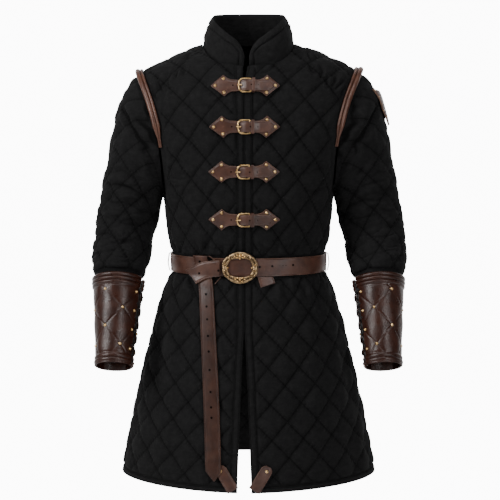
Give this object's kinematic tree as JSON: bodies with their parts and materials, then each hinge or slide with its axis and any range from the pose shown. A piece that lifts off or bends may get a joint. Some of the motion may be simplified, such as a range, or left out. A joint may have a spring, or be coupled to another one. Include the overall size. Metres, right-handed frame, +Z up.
{
  "type": "gambeson",
  "caption": "Quilted knee-length arming coat with stand collar, buckled straps, ring belt and laced leather cuffs, in its hollow worn form.",
  "frame": {"origin": "middle of the neck's base, level with the top of the shoulders that carry it", "axes": "+Z up, -Y to the front, +X to the wearer's left"},
  "size_m": [0.6578, 0.3818, 0.9634],
  "materials": {
    "quilted_cotton": "matte heavy black cotton, quilted in diamonds",
    "leather": "satin brown vegetable-tanned leather with burnished edges",
    "cuff_leather": "glossy dark brown leather",
    "brass": "antique cast brass, darkened in its hollows",
    "lace": "black round lace"
  },
  "bodies": {
    "root": {"arm_shield": "leather", "back": "quilted_cotton", "belt": "leather", "belt_band": "leather", "belt_loop_left": "leather", "belt_loop_right": "leather", "belt_ring": "brass", "belt_tab": "leather", "belt_tail": "leather", "buckle_1": "brass", "buckle_2": "brass", "buckle_3": "brass", "buckle_4": "brass", "chape_1": "leather", "chape_2": "leather", "chape_3": "leather", "chape_4": "leather", "collar": "quilted_cotton", "cuff_left": "cuff_leather", "cuff_lining_left": "quilted_cotton", "cuff_lining_right": "quilted_cotton", "cuff_right": "cuff_leather", "front_left": "quilted_cotton", "front_right": "quilted_cotton", "hem_band_back": "quilted_cotton", "hem_band_left": "quilted_cotton", "hem_band_right": "quilted_cotton", "hem_tab_left": "leather", "hem_tab_right": "leather", "keeper_1": "leather", "keeper_2": "leather", "keeper_3": "leather", "keeper_4": "leather", "lace_left": "lace", "lace_right": "lace", "piping_bead_left": "leather", "piping_bead_right": "leather", "piping_roll_left": "leather", "piping_roll_right": "leather", "placket_left": "quilted_cotton", "placket_right": "quilted_cotton", "prong_1": "brass", "prong_2": "brass", "prong_3": "brass", "prong_4": "brass", "sleeve_left": "quilted_cotton", "sleeve_right": "quilted_cotton", "strap_1": "leather", "strap_2": "leather", "strap_3": "leather", "strap_4": "leather"}
  },
  "joints": []
}
